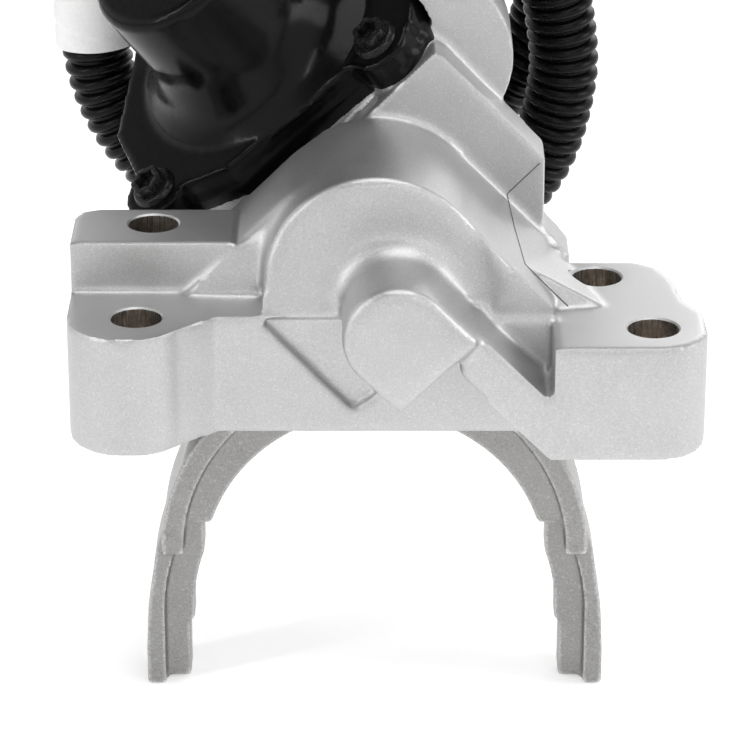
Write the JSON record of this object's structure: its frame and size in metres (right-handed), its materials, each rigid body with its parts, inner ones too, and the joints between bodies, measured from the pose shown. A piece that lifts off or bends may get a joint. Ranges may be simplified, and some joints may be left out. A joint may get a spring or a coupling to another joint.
{
  "type": "front differential actuator",
  "caption": "Electric front axle shifter: cast housing with bolt flange, tilted motor cover, sliding U-shaped fork and a corrugated harness with connector.",
  "frame": {"origin": "on the mounting face, in the middle of its front strip below the fork chamber", "axes": "+Z away from the axle through the flange, +Y along the shift rail away from the rail boss, +X across the flange"},
  "size_m": [0.1474, 0.1552, 0.1874],
  "materials": {
    "cast_aluminium": "sparkling grit-blasted casting",
    "cast_steel": "grit-blasted gray casting",
    "ground_steel": "ground",
    "black_paint": "satin black",
    "black_screw": "black phosphate",
    "bronze": "sintered",
    "zinc_steel": "zinc plated",
    "rubber": "matt",
    "orange_rubber": "matt",
    "gear_plastic": "moulded",
    "black_plastic": "satin black",
    "red_plastic": "moulded",
    "board": "solder mask",
    "copper": "enamelled",
    "contact": "tinned",
    "magnet": "sintered ferrite",
    "carbon": "graphite",
    "white_tape": "woven"
  },
  "bodies": {
    "housing": {"housing": "cast_aluminium", "rail_bush_front": "bronze", "rail_bush_rear": "bronze", "core_plug": "zinc_steel", "motor_cover": "black_paint", "cover_gasket": "rubber", "cover_screws": "black_screw", "gear_plate": "zinc_steel", "motor_can": "zinc_steel", "motor_end_plate": "zinc_steel", "motor_bush_top": "bronze", "motor_bush_bottom": "bronze", "magnets": "magnet", "brushes": "carbon", "brush_springs": "contact", "gear_pin": "ground_steel", "output_bush": "bronze", "output_seal": "rubber", "position_board": "board", "harness_grommet": "rubber", "conduit": "black_plastic", "tape_wrap": "white_tape", "connector_body": "black_plastic", "connector_seal": "orange_rubber", "connector_terminals": "contact", "connector_lock": "red_plastic"},
    "armature": {"armature_core": "ground_steel", "armature_windings": "copper", "armature_shaft": "ground_steel", "commutator": "copper", "motor_pinion": "contact"},
    "intermediate": {"intermediate_gear": "gear_plastic"},
    "output": {"output_gear": "gear_plastic", "output_shaft": "ground_steel", "crank_pin": "ground_steel", "retaining_ring": "ground_steel", "wiper": "contact"},
    "shifter": {"shift_rail": "ground_steel", "shift_fork": "cast_steel", "fork_pin": "ground_steel", "selector_block": "cast_steel", "selector_pin": "ground_steel"}
  },
  "joints": [
    {"name": "fork_slide", "type": "slide", "parent": "housing", "child": "shifter", "axis": [0, 1, 0], "range_m": [0, 0.01]},
    {"name": "output_turn", "type": "hinge", "parent": "housing", "child": "output", "pos_m": [-0.01683, 0.06638, 0.03583], "axis": [-0.5245, -0.4198, 0.7407], "range_deg": [0, 60.2]},
    {"name": "intermediate_turn", "type": "hinge", "parent": "housing", "child": "intermediate", "pos_m": [-0.03355, 0.07451, 0.0448], "axis": [-0.5245, -0.4198, 0.7407], "range_deg": [-150.51, 0]},
    {"name": "armature_turn", "type": "hinge", "parent": "housing", "child": "armature", "pos_m": [-0.027, 0.068, 0.066], "axis": [-0.5245, -0.4198, 0.7407], "range_deg": [0, 511.74]}
  ],
  "couplings": [
    {"joint": "output_turn", "follows": "fork_slide", "rad_per_m": 105.08},
    {"joint": "intermediate_turn", "follows": "fork_slide", "rad_per_m": -262.69},
    {"joint": "armature_turn", "follows": "fork_slide", "rad_per_m": 893.15}
  ]
}
